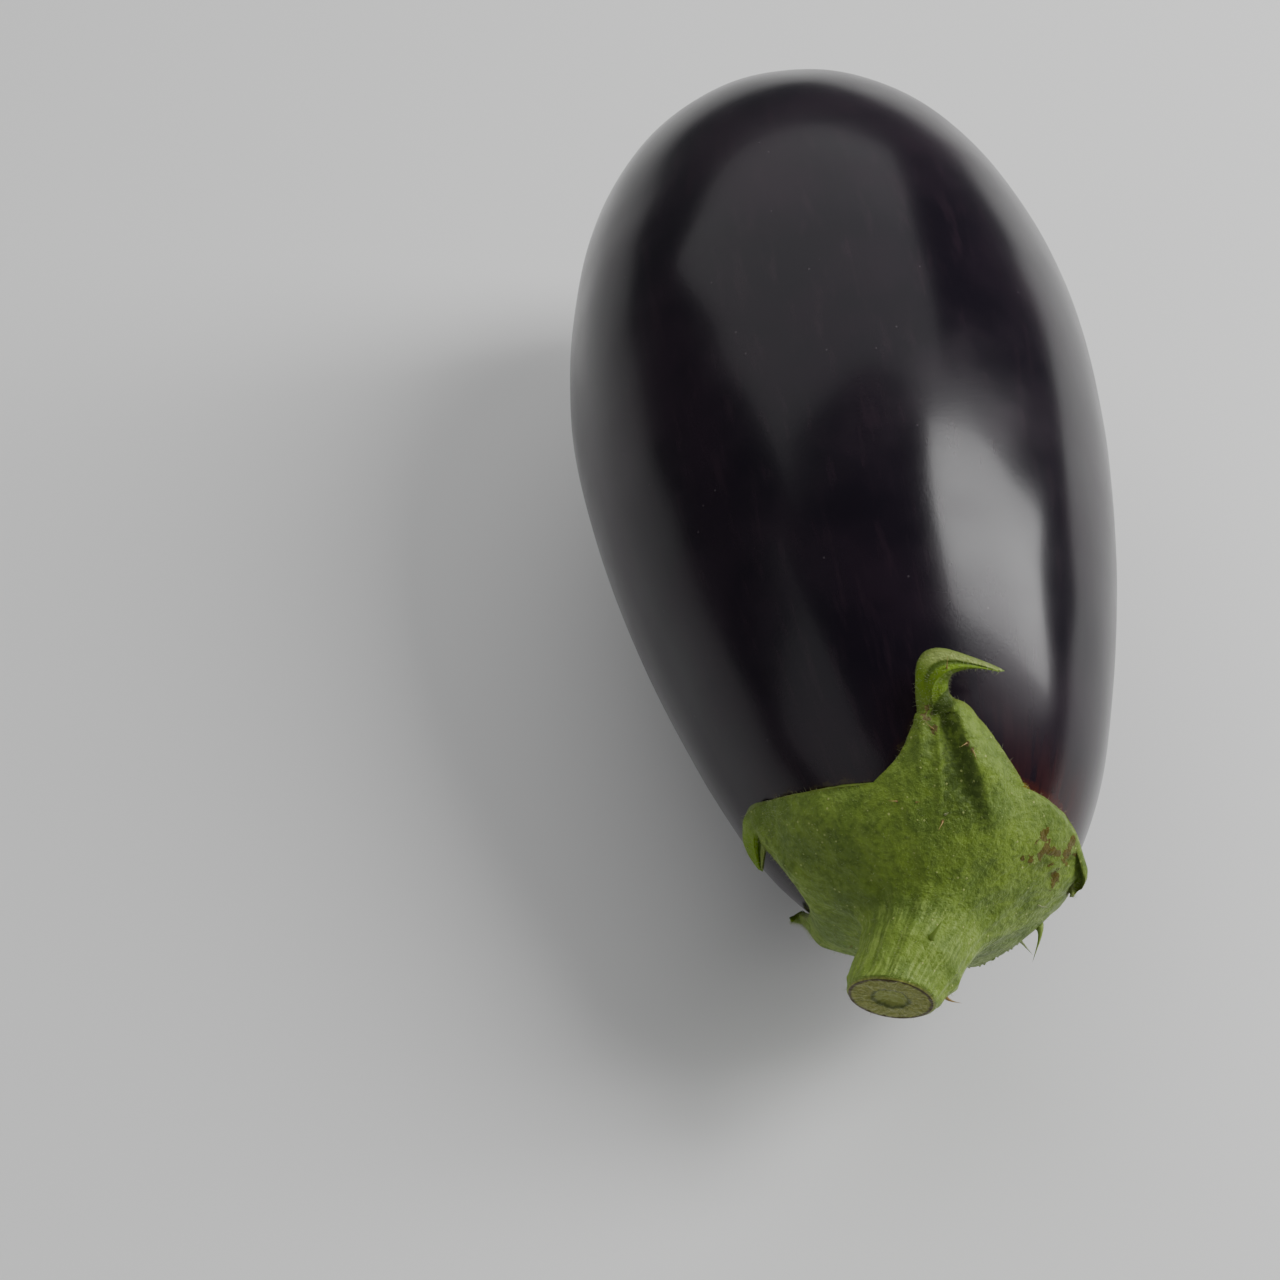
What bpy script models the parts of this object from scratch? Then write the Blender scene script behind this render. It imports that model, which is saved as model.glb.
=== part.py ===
"""A globe eggplant lying on its side: the berry, and the green cap with its five sepals and cut stalk.

Metres, +Z up. The origin is the centre of the small flat that the berry rests on.
+Y runs along the berry from its stalk end to its blossom end, and +X is to the right of that.
"""

import math
from collections import namedtuple

import bmesh
import bpy
import numpy as np

# Berry
BODY_DIAMETER = 0.095
BODY_LENGTH = 0.174
# Weights of the powers of a cosine that is 1 at the blossom end and -1 at the stalk, for a full or lean outline
FULLNESS = (1.0, 0.212, 0.010, -0.120, 0.210, 0.050)
BOW = 0.0008  # how far both ends stand to +X of the middle
DROOP = math.radians(4.0)  # the narrower stalk end lies lower
LOBES = ((2, 0.006, 0.7), (3, 0.005, 1.9))  # waves round the section: how many, share of the radius, phase
FLAT_DEPTH = 0.0014  # height that the resting flat takes off the round underside

# Cap and stalk
CLEARANCE = 0.0003  # between the cap and the skin
CROWN_DEPTH = 0.045  # from the middle of the cap down to the point that its distances are turned about
CROWN_LIFT = math.radians(8.0)  # the cap sits a little above the berry's own end
CROWN_SWING = math.radians(-6.5)  # and a little to -X
CAP_THICKNESS = 0.0028
EDGE_THICKNESS = 0.0011
TIP_THINNING = 0.4  # share of a sepal's thickness that is lost towards its tip
NOTCH_THINNING = 0.25  # how far round from a notch the cap is thin, in radians
FLARE_DISTANCE = 0.0165  # where the stalk's flare has run out into the cap
FLARE_PULL = 0.48  # how long the flare keeps to the stalk's and the cap's directions, as a share of its reach
STALK_LENGTH = 0.0158
STALK_RADIUS = 0.0068
STALK_FOOT_RADIUS = 0.0080
STALK_FOOT_HEIGHT = 0.0085  # where the flare starts, measured from the skin
STALK_SWING = math.radians(-34.0)  # the stalk leans to -X
STALK_RISE = math.radians(3.0)
CUT_SWING = math.radians(-19.0)  # the cut isn't quite square to the stalk
CUT_RISE = math.radians(0.0)
CUT_BEVEL = 0.0005

SHOULDER_REACH = 0.15  # how soon a sepal's wide shoulders have run out, as a share of its free length
BLADE_POWER = 0.8  # how its narrower blade draws in to the tip: 1 is straight sides, and less is rounder ones

# Bearings are in degrees, clockwise from the top as seen from the stalk. Distances run over the skin, outwards
# from where the flare has run out. A tip leaves the skin and curls by three offsets, each (on, aside, out).
Sepal = namedtuple("Sepal", "tip_bearing notch_bearing notch_distance leaving length shoulder curl")
SEPALS = {
    "upper": Sepal(
        tip_bearing=1,
        notch_bearing=36,
        notch_distance=0.0110,
        leaving=0.0210,
        length=0.0355,
        shoulder=0.56,
        curl=((0.004, -0.001, 0.002), (0.010, 0.000, 0.007), (0.003, 0.013, 0.004)),
    ),
    "right": Sepal(
        tip_bearing=92,
        notch_bearing=124,
        notch_distance=0.0075,
        leaving=0.0150,
        length=0.0200,
        shoulder=0.30,
        curl=((0.001, 0.001, 0.001), (0.002, 0.004, 0.001), (-0.001, 0.008, 0.001)),
    ),
    "lower_right": Sepal(
        tip_bearing=150,
        notch_bearing=190,
        notch_distance=0.0045,
        leaving=0.0145,
        length=0.0205,
        shoulder=0.45,
        curl=((0.002, 0.000, 0.001), (0.004, 0.001, 0.002), (0.006, 0.002, 0.003)),
    ),
    "lower_left": Sepal(
        tip_bearing=224,
        notch_bearing=254,
        notch_distance=0.0035,
        leaving=0.0115,
        length=0.0175,
        shoulder=0.45,
        curl=((0.002, 0.000, 0.001), (0.004, 0.000, 0.002), (0.006, -0.002, 0.002)),
    ),
    "left": Sepal(
        tip_bearing=280,
        notch_bearing=336,
        notch_distance=0.0105,
        leaving=0.0160,
        length=0.0215,
        shoulder=0.30,
        curl=((0.002, -0.001, 0.001), (0.003, -0.004, 0.001), (0.001, -0.008, 0.002)),
    ),
}

# Fineness of the meshes
BODY_RINGS = 40
BODY_SIDES = 48
HALF_COLUMNS = 5  # columns on each side of a sepal's middle
STALK_RINGS = 5
FLARE_RINGS = 7
CAP_RINGS = 3
SEPAL_ROWS = 12
UNDERSIDE_RINGS = 5

SKIN_COLOUR = (0.012, 0.006, 0.010, 1.0)
CAP_COLOUR = (0.130, 0.190, 0.045, 1.0)


def outline_radius(cosine):
    """The berry's mean radius along its length."""
    powers = np.polynomial.polynomial.polyval(cosine, FULLNESS)
    return np.sqrt(np.clip(1 - cosine**2, 0, None)) * powers


STATIONS = np.cos(np.linspace(0, math.pi, 721))
RADIUS_SCALE = BODY_DIAMETER / 2 / outline_radius(STATIONS).max()


def section_radius(cosine, turn):
    """The berry's radius at one station, where turn runs round from its top towards +X."""
    lobes = sum(share * np.cos(count * turn + phase) for count, share, phase in LOBES)
    return outline_radius(cosine) * RADIUS_SCALE * (1 + lobes)


def body_axis(cosine):
    """A point of the berry's middle line, before it is set down."""
    return np.stack([BOW * cosine**2, BODY_LENGTH / 2 * cosine, 0 * cosine], axis=-1)


def drooped(points, angle=DROOP):
    """Points turned about X, so that a positive angle lowers the stalk end."""
    x, y, z = np.moveaxis(points, -1, 0)
    turned_y = y * math.cos(angle) - z * math.sin(angle)
    turned_z = y * math.sin(angle) + z * math.cos(angle)
    return np.stack([x, turned_y, turned_z], axis=-1)


def resting_shift():
    """The move that puts the middle of the resting flat at the origin."""
    underside = body_axis(STATIONS)
    underside[:, 2] -= section_radius(STATIONS, math.pi)
    lowest = min(drooped(underside), key=lambda point: point[2])
    return -lowest - np.array([0, 0, FLAT_DEPTH])


BODY_MIDDLE = resting_shift()


def body_point(cosine, turn):
    radius = section_radius(cosine, turn)
    across = np.stack([np.sin(turn), 0 * turn, np.cos(turn)], axis=-1)
    return drooped(body_axis(cosine) + across * radius[..., None]) + BODY_MIDDLE


def height_over_skin(points):
    """Roughly how far points stand outside the berry's round surface, and which way is out."""

    def level(at):
        x, y, z = np.moveaxis(drooped(at - BODY_MIDDLE, -DROOP), -1, 0)
        along = 2 * y / BODY_LENGTH
        cosine = np.clip(along, -1, 1)
        x = x - BOW * cosine**2
        past_end = np.abs(along - cosine) * BODY_LENGTH / 2
        return np.hypot(x, z) - section_radius(cosine, np.arctan2(x, z)) + past_end

    step = 1e-5
    slopes = [level(points + offset) - level(points - offset) for offset in step * np.eye(3)]
    slope = np.stack(slopes, axis=-1) / (2 * step)
    steepness = np.linalg.norm(slope, axis=-1, keepdims=True)
    return level(points) / steepness[..., 0], slope / steepness


def crown_frame():
    """The turning point inside the stalk end, and the cap's outward, upward and +X directions."""
    swing = CROWN_SWING
    outward = np.array([math.sin(swing), -math.cos(swing), 0.0])
    outward = outward * math.cos(CROWN_LIFT) + np.array([0, 0, math.sin(CROWN_LIFT)])
    outward = drooped(outward)
    aside = np.cross(outward, [0, 0, 1.0])
    aside = -aside / np.linalg.norm(aside)
    upward = np.cross(outward, aside)
    end = body_point(np.array(-1.0), np.array(0.0))
    return end - CROWN_DEPTH * drooped(np.array([0, -1.0, 0])), outward, upward, aside


CROWN_CENTRE, CROWN_OUT, CROWN_UP, CROWN_ASIDE = crown_frame()


def skin_point(distance, bearing):
    """The point of the skin at a distance from the middle of the cap, with bearings clockwise from the top."""
    angle = np.asarray(distance) / CROWN_DEPTH
    sideways = np.cos(bearing)[..., None] * CROWN_UP + np.sin(bearing)[..., None] * CROWN_ASIDE
    ray = np.cos(angle)[..., None] * CROWN_OUT + np.sin(angle)[..., None] * sideways
    near = np.zeros(ray.shape[:-1])
    far = np.full(ray.shape[:-1], BODY_LENGTH)
    for _ in range(40):
        middle = (near + far) / 2
        inside = height_over_skin(CROWN_CENTRE + ray * middle[..., None])[0] < 0
        near = np.where(inside, middle, near)
        far = np.where(inside, far, middle)
    return CROWN_CENTRE + ray * near[..., None]


def kept_clear(points, clearance):
    """Points moved out along the skin's own direction until they stand clear of it."""
    for _ in range(4):
        height, out = height_over_skin(points)
        points = points + out * np.clip(clearance - height, 0, None)[..., None]
    return points


def raised(distance, bearing, height):
    """A point at a height over the skin."""
    foot = skin_point(distance, bearing)
    out = height_over_skin(foot)[1]
    return foot + out * np.asarray(height)[..., None]


def unit(vectors):
    return vectors / np.linalg.norm(vectors, axis=-1, keepdims=True)


def bezier(start, first, second, end, share):
    """Points along a cubic curve, with shares in a leading axis."""
    share = np.asarray(share).reshape((-1,) + (1,) * np.ndim(start))
    rest = 1 - share
    return rest**3 * start + 3 * rest**2 * share * first + 3 * rest * share**2 * second + share**3 * end


def sepal_columns():
    """For each sepal: its columns' bearings from notch to notch, and the distances where they leave the cap."""
    sepals = list(SEPALS.values())
    columns = []
    for number, sepal in enumerate(sepals):
        before = sepals[number - 1]
        start = before.notch_bearing - (360 if number == 0 else 0)
        bearings = np.radians(np.linspace(start, sepal.notch_bearing, 2 * HALF_COLUMNS + 1))
        edges = np.linspace(before.notch_distance, sepal.notch_distance, 2 * HALF_COLUMNS + 1)
        columns.append((bearings, FLARE_DISTANCE + edges))
    return columns


def level_direction(swing, rise):
    """A unit direction that leaves along -Y, swung towards +X and raised."""
    level = np.array([math.sin(swing), -math.cos(swing), 0.0])
    return level * math.cos(rise) + np.array([0, 0, math.sin(rise)])


STALK_DIRECTION = level_direction(STALK_SWING, STALK_RISE)
CUT_NORMAL = level_direction(CUT_SWING, CUT_RISE)


def stalk_ring(root, spokes, height, radius):
    """A ring round the stalk. Rings lean with the cut, and by the stalk's foot they stand square."""
    lean = spokes @ CUT_NORMAL / (STALK_DIRECTION @ CUT_NORMAL) * radius
    share = np.clip((height - STALK_FOOT_HEIGHT) / (STALK_LENGTH - STALK_FOOT_HEIGHT), 0, 1)
    return root + spokes * radius + (height - share * lean)[:, None] * STALK_DIRECTION


def stalk_and_cap_rings(bearings, edges):
    """Rings of points from the cut's rim, down the stalk and its flare, and out over the cap to the notches."""
    root = skin_point(np.array(0.0), np.array(0.0))
    spokes = np.cos(bearings)[:, None] * CROWN_UP + np.sin(bearings)[:, None] * CROWN_ASIDE
    spokes = unit(spokes - (spokes @ STALK_DIRECTION)[:, None] * STALK_DIRECTION)
    rings = [stalk_ring(root, spokes, STALK_LENGTH, STALK_RADIUS - CUT_BEVEL)]
    for share in np.linspace(0, 1, STALK_RINGS + 1):
        height = (STALK_LENGTH - CUT_BEVEL) * (1 - share) + STALK_FOOT_HEIGHT * share
        radius = STALK_RADIUS + (STALK_FOOT_RADIUS - STALK_RADIUS) * share**2
        rings.append(stalk_ring(root, spokes, height, radius))
    foot = rings[-1]
    all_round = np.ones(len(bearings))
    landing = raised(FLARE_DISTANCE * all_round, bearings, CAP_THICKNESS * all_round)
    onward = raised((FLARE_DISTANCE + 0.001) * all_round, bearings, CAP_THICKNESS * all_round)
    reach = np.linalg.norm(landing - foot, axis=1, keepdims=True)
    shares = np.linspace(0, 1, FLARE_RINGS + 1)[1:]
    leaving_foot = foot - STALK_DIRECTION * reach * FLARE_PULL
    nearing_landing = landing - unit(onward - landing) * reach * FLARE_PULL
    rings.extend(bezier(foot, leaving_foot, nearing_landing, landing, shares))
    for share in np.linspace(0, 1, CAP_RINGS + 1)[1:]:
        distances = FLARE_DISTANCE + (edges - FLARE_DISTANCE) * share
        rings.append(raised(distances, bearings, cap_height(bearings, share)))
    return rings


def cap_height(bearings, share):
    """The cap's thickness between the flare and the notches: it thins towards each notch."""
    notches = np.radians([sepal.notch_bearing for sepal in SEPALS.values()])
    away = np.abs((bearings[:, None] - notches + math.pi) % (2 * math.pi) - math.pi).min(axis=1)
    thinning = share**2 * np.exp(-((away / NOTCH_THINNING) ** 2))
    return CAP_THICKNESS + (EDGE_THICKNESS - CAP_THICKNESS) * thinning


def sepal_surfaces(sepal, bearings, edges):
    """One sepal past the notches, as rows of points of its outer face and of its inner face, and its tip."""
    length = FLARE_DISTANCE + sepal.length
    leaving = FLARE_DISTANCE + sepal.leaving
    across = np.linspace(-1, 1, 2 * HALF_COLUMNS + 1)
    middle, root = bearings[HALF_COLUMNS], edges[HALF_COLUMNS]
    drift = (math.radians(sepal.tip_bearing) - middle) / (leaving - root)
    root_widths = (bearings - middle) * CROWN_DEPTH * np.sin(edges / CROWN_DEPTH)

    def flanks(share):
        shoulders = sepal.shoulder * math.exp(-share / SHOULDER_REACH)
        blade = (1 - sepal.shoulder) * (1 - share) ** BLADE_POWER
        return root_widths * (shoulders + blade)

    def on_skin(share, height):
        distances = edges + (length - edges) * share
        lateral = CROWN_DEPTH * np.sin(distances / CROWN_DEPTH)
        where = middle + drift * (distances[HALF_COLUMNS] - root) + flanks(share) / lateral
        return raised(distances, where, height * np.ones(len(where)))

    leaving_share = (leaving - root) / (length - root)
    last_row = on_skin(leaving_share, CLEARANCE)
    start = last_row[HALF_COLUMNS]
    out = height_over_skin(start)[1]
    aside = unit(np.cross(on_skin(leaving_share + 0.02, CLEARANCE)[HALF_COLUMNS] - start, out))
    on = np.cross(out, aside)
    corners = [start + on * a + aside * b + out * c for a, b, c in sepal.curl]
    wrap = last_row - start - aside * flanks(leaving_share)[:, None]
    outer, inner = [], []
    for share in np.arange(1, SEPAL_ROWS) / SEPAL_ROWS:
        crown = (1 - across**2) * (1 - share)
        thickness = (EDGE_THICKNESS + (CAP_THICKNESS - EDGE_THICKNESS) * crown) * (1 - TIP_THINNING * share)
        if share <= leaving_share:
            inner.append(on_skin(share, CLEARANCE))
            outer.append(on_skin(share, CLEARANCE + thickness))
            continue
        past = (share - leaving_share) / (1 - leaving_share)
        centre, lateral, up = curl_frame(start, corners, aside, past)
        points = centre + lateral * flanks(share)[:, None] + wrap * (1 - past) ** 2
        inner.append(kept_clear(points, CLEARANCE))
        outer.append(kept_clear(points + up * thickness[:, None], CLEARANCE + EDGE_THICKNESS / 2))
    tip = kept_clear(corners[-1][None], CLEARANCE + EDGE_THICKNESS / 4)[0]
    return outer, inner, tip


def curl_frame(start, corners, aside, share):
    """A curling tip's point, sideways direction and upper side, carried along without twisting."""
    shares = np.linspace(0, 1, 33)
    path = bezier(start, *corners, shares)
    tangents = unit(np.gradient(path, axis=0))
    lateral = aside
    laterals = []
    for tangent in tangents:
        lateral = unit(lateral - (lateral @ tangent) * tangent)
        laterals.append(lateral)
    centre = np.array([np.interp(share, shares, path[:, i]) for i in range(3)])
    tangent = unit(np.array([np.interp(share, shares, tangents[:, i]) for i in range(3)]))
    lateral = unit(np.array([np.interp(share, shares, np.array(laterals)[:, i]) for i in range(3)]))
    return centre, lateral, np.cross(lateral, tangent)


def new_object(name, bm, colour, roughness):
    """A named object from a bmesh, shaded smooth, with its own material."""
    bmesh.ops.recalc_face_normals(bm, faces=bm.faces)
    mesh = bpy.data.meshes.new(name)
    bm.to_mesh(mesh)
    bm.free()
    mesh.shade_smooth()
    mesh.set_sharp_from_angle(angle=math.radians(35))
    material = bpy.data.materials.new(name)
    material.use_nodes = True
    shader = material.node_tree.nodes["Principled BSDF"]
    shader.inputs["Base Color"].default_value = colour
    shader.inputs["Roughness"].default_value = roughness
    shader.inputs["Metallic"].default_value = 0.0
    mesh.materials.append(material)
    obj = bpy.data.objects.new(name, mesh)
    bpy.context.scene.collection.objects.link(obj)
    return obj


def ring_band(bm, first, second):
    """Faces between two closed rings of vertices."""
    for i in range(len(first)):
        j = (i + 1) % len(first)
        bm.faces.new((first[i], first[j], second[j], second[i]))


def fan(bm, ring, centre):
    for i in range(len(ring)):
        bm.faces.new((ring[i], ring[(i + 1) % len(ring)], centre))


def make_fruit():
    bm = bmesh.new()
    turns = np.linspace(0, 2 * math.pi, BODY_SIDES, endpoint=False)
    rings = []
    for angle in np.linspace(0, math.pi, BODY_RINGS + 1)[1:-1]:
        points = body_point(np.full(BODY_SIDES, math.cos(angle)), turns)
        rings.append([bm.verts.new(point) for point in points])
    for first, second in zip(rings, rings[1:]):
        ring_band(bm, first, second)
    for ring, cosine in ((rings[0], 1.0), (rings[-1], -1.0)):
        fan(bm, ring, bm.verts.new(body_point(np.array(cosine), np.array(0.0))))
    everything = bm.verts[:] + bm.edges[:] + bm.faces[:]
    cut = bmesh.ops.bisect_plane(
        bm, geom=everything, dist=1e-7, plane_co=(0, 0, 0), plane_no=(0, 0, -1), clear_outer=True
    )
    rim = [item for item in cut["geom_cut"] if isinstance(item, bmesh.types.BMEdge)]
    bmesh.ops.contextual_create(bm, geom=rim)
    return new_object("fruit", bm, SKIN_COLOUR, 0.22)


def make_cap():
    bm = bmesh.new()
    columns = sepal_columns()
    bearings = np.concatenate([sepal_bearings[:-1] for sepal_bearings, _ in columns])
    edges = np.concatenate([sepal_edges[:-1] for _, sepal_edges in columns])
    rings = []
    for points in stalk_and_cap_rings(bearings, edges):
        rings.append([bm.verts.new(point) for point in points])
    for first, second in zip(rings, rings[1:]):
        ring_band(bm, first, second)
    root = skin_point(np.array(0.0), np.array(0.0))
    fan(bm, rings[0], bm.verts.new(root + STALK_DIRECTION * STALK_LENGTH))

    under = []
    for share in np.linspace(1, 0, UNDERSIDE_RINGS + 1)[:-1]:
        points = raised(edges * share, bearings, np.full(len(bearings), CLEARANCE))
        under.append([bm.verts.new(point) for point in points])
    for first, second in zip(under, under[1:]):
        ring_band(bm, first, second)
    fan(bm, under[-1], bm.verts.new(raised(np.array(0.0), np.array(0.0), np.array(CLEARANCE))))

    width = 2 * HALF_COLUMNS
    for number, (sepal, column) in enumerate(zip(SEPALS.values(), columns)):
        outer_rows, inner_rows, tip = sepal_surfaces(sepal, *column)
        around = [(number * width + i) % len(bearings) for i in range(width + 1)]
        outer = [[rings[-1][i] for i in around]]
        outer += [[bm.verts.new(point) for point in points] for points in outer_rows]
        inner = [[under[0][i] for i in around]]
        inner += [[bm.verts.new(point) for point in points] for points in inner_rows]
        tip = bm.verts.new(tip)
        for face in (outer, inner):
            for first, second in zip(face, face[1:]):
                for i in range(width):
                    bm.faces.new((first[i], first[i + 1], second[i + 1], second[i]))
            for i in range(width):
                bm.faces.new((face[-1][i], face[-1][i + 1], tip))
        for side in (0, -1):
            for j in range(len(outer) - 1):
                bm.faces.new((outer[j][side], outer[j + 1][side], inner[j + 1][side], inner[j][side]))
            bm.faces.new((outer[-1][side], tip, inner[-1][side]))
    return new_object("calyx_with_stalk", bm, CAP_COLOUR, 0.55)


def main():
    for obj in list(bpy.data.objects):
        bpy.data.objects.remove(obj)
    make_fruit()
    make_cap()


main()
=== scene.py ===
"""The look of a globe eggplant that lies on its side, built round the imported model.

Metres, +Z up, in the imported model's own frame: the origin is the middle of the flat that the berry rests
on, and +Y runs from its stalk end to its blossom end. The berry and the cap follow the same surfaces as the
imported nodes, with the relief, the curled tips and the hairs that the plain solids leave out.
"""

import math
from collections import namedtuple

import bpy
import numpy as np
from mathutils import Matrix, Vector, kdtree, noise


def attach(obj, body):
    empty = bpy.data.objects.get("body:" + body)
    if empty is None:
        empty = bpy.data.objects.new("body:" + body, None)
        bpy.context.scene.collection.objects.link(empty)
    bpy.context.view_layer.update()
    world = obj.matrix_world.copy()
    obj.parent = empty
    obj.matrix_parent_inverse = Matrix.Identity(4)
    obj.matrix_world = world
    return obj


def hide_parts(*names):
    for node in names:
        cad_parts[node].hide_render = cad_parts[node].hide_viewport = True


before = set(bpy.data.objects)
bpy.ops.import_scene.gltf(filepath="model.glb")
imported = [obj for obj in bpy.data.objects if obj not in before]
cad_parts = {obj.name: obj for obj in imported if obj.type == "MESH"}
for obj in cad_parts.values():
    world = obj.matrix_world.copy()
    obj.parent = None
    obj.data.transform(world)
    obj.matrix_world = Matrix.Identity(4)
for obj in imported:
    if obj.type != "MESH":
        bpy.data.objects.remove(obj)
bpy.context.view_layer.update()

MM = 0.001

# Berry
BODY_DIAMETER = 0.095
BODY_LENGTH = 0.174
FULLNESS = (1.0, 0.212, 0.010, -0.120, 0.210, 0.050)
BOW = 0.0008
DROOP = math.radians(4.0)
LOBES = ((2, 0.006, 0.7), (3, 0.005, 1.9))
FLAT_DEPTH = 0.0014
FLAT_SOFTNESS = 0.0004  # how softly the resting flat runs into the round underside
BODY_RINGS = 220
BODY_SIDES = 320

# Cap and stalk
CLEARANCE = 0.0003
CROWN_DEPTH = 0.045
CROWN_LIFT = math.radians(8.0)
CROWN_SWING = math.radians(-6.5)
CAP_THICKNESS = 0.0028
EDGE_THICKNESS = 0.0011
TIP_THINNING = 0.4
NOTCH_THINNING = 0.25
FLARE_DISTANCE = 0.0165
FLARE_PULL = 0.48
STALK_LENGTH = 0.0158
STALK_RADIUS = 0.0068
STALK_FOOT_RADIUS = 0.0080
STALK_FOOT_HEIGHT = 0.0085
STALK_SWING = math.radians(-34.0)
STALK_RISE = math.radians(3.0)
CUT_SWING = math.radians(-19.0)
CUT_BEVEL = 0.0005
SHOULDER_REACH = 0.15
BLADE_POWER = 0.8
STALK_FOOT_PAST = -0.012  # inside the flare, the marked distances are negative and run on up the stalk
CUT_FACE_PAST = -0.040
KEPT_CLEAR_PAST = 0.003  # further in, the relief is too low to reach the skin

# Bearings are in degrees, clockwise from the top as seen from the stalk. Distances run over the skin,
# outwards from where the flare has run out. Each curl is three offsets (on, aside, out). A bulge widens the
# left and right flank, a swell widens the free tip, and the fold bends both flanks down about its middle.
Sepal = namedtuple(
    "Sepal",
    "tip_bearing notch_bearing notch_distance leaving length shoulder curl fold bulge swell",
    defaults=((0.0, 0.0), 0.0),
)
SEPALS = (
    Sepal(
        tip_bearing=1,
        notch_bearing=36,
        notch_distance=0.0110,
        leaving=0.0210,
        length=0.0355,
        shoulder=0.56,
        curl=((0.004, -0.001, 0.002), (0.010, 0.000, 0.007), (0.003, 0.0115, 0.004)),
        fold=46,
        bulge=(0.05, 0.42),
        swell=0.8,
    ),
    Sepal(
        tip_bearing=87,
        notch_bearing=124,
        notch_distance=0.0075,
        leaving=0.0105,
        length=0.0135,
        shoulder=0.30,
        curl=((0.0005, 0.001, 0.0003), (0.000, 0.0015, 0.0004), (-0.001, 0.0028, 0.0003)),
        fold=15,
    ),
    Sepal(
        tip_bearing=150,
        notch_bearing=190,
        notch_distance=0.0045,
        leaving=0.0145,
        length=0.0205,
        shoulder=0.45,
        curl=((0.002, 0.000, 0.001), (0.004, 0.001, 0.002), (0.006, 0.002, 0.003)),
        fold=30,
    ),
    Sepal(
        tip_bearing=224,
        notch_bearing=254,
        notch_distance=0.0035,
        leaving=0.0115,
        length=0.0155,
        shoulder=0.45,
        curl=((0.0010, 0.0008, 0.0006), (0.0015, 0.0020, 0.0016), (0.0002, 0.0036, 0.0022)),
        fold=30,
    ),
    Sepal(
        tip_bearing=280,
        notch_bearing=336,
        notch_distance=0.0105,
        leaving=0.0160,
        length=0.0215,
        shoulder=0.30,
        curl=((0.002, -0.001, 0.001), (0.003, -0.004, 0.001), (0.001, -0.008, 0.002)),
        fold=25,
    ),
)
HALF_COLUMNS = 32
CUT_RINGS = 16
STALK_RINGS = 20
FLARE_RINGS = 26
CAP_RINGS = 20
SEPAL_ROWS = 64
UNDERSIDE_RINGS = 6

# Relief of the cap: heights and depths
CREST_HEIGHT = 2.1 * MM
MIDRIB_HEIGHT = 0.5 * MM
LEFT_RIDGE_HEIGHT = 0.7 * MM
HOLLOW_DEPTH = 0.5 * MM
SEPAL_RIDGE_HEIGHT = 0.7 * MM
STALK_RIDGE_HEIGHT = 0.30 * MM
FLUTE_HEIGHT = 0.10 * MM
SWELL_HEIGHT = 0.42 * MM  # broad unevenness
PUCKER_HEIGHT = 0.16 * MM  # fine unevenness
CREASE_DEPTH = 0.25 * MM
PIT_DEPTH = 0.5 * MM
LAP_DEPTH = 0.12 * MM
SCAR_HEIGHT = 0.25 * MM
CUT_HEIGHT = 0.25 * MM
PITH_DEPTH = 0.5 * MM
SHARP_ANGLE = math.radians(50)

# The crest of the upper sepal runs slanting, nearer to the midrib towards the tip
CREST_END = 21.6 * MM
CREST_END_ASIDE = 2.4 * MM
CREST_SLANT = 0.355

# Corky scars, pits and brown flecks: past the flare in mm, bearing in degrees, radius in mm
SCARS = (
    (4.4, 58, 1.9),
    (5.2, 66, 2.0),
    (3.7, 77, 1.9),
    (9.2, 69, 1.6),
    (7.6, 73, 1.9),
    (1.5, 55, 1.5),
    (6.7, 54, 0.9),
    (12.6, 86, 1.5),
)
PITS = ((2.8, 64, 1.8), (3.4, 74, 1.2), (7.4, 76, 0.9))
FLECKS = (
    (23.1, -2, 0.8),
    (20.5, -2, 1.0),
    (18.1, 0, 0.8),
    (14.3, 11, 0.5),
    (15.5, 9, 0.5),
    (3.2, 3, 0.5),
    (6.9, -16, 0.4),
)

# Relief and blush of the berry
BLUSH_BEARING = 58
BLUSH_WIDTH = 28
SKIN_SWELL = 0.30 * MM
BLOSSOM_DIP = 0.9 * MM
BLOSSOM_RIM = 0.35 * MM
CAP_REACH = 40 * MM  # beyond this the cap has no effect on the skin

# Colours
GREEN_LIGHT = (0.182, 0.276, 0.03, 1)
GREEN_MID = (0.114, 0.182, 0.023, 1)
GREEN_PALE = (0.275, 0.38, 0.078, 1)
# Deep green for the mottle, and also painted shade in the curled tips' crease
GREEN_DEEP_AND_PAINTED_SHADE = (0.052, 0.09, 0.01, 1)
# The hollow's darker green: partly its own colour, partly painted shade; also painted shade under the hooked
# tip
GREEN_HOLLOW_AND_PAINTED_SHADE = (0.05, 0.084, 0.009, 1)
GREEN_RIM = (0.13, 0.165, 0.018, 1)
GREEN_UNDER = (0.07, 0.112, 0.015, 1)
# Brighter lime of the curled tips: partly their own colour, partly painted light
HOOK_LIME_AND_PAINTED_LIGHT = (0.17, 0.285, 0.01, 1)
HOOK_PALE = (0.38, 0.47, 0.14, 1)
DOT_PALE = (0.42, 0.48, 0.15, 1)
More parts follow.
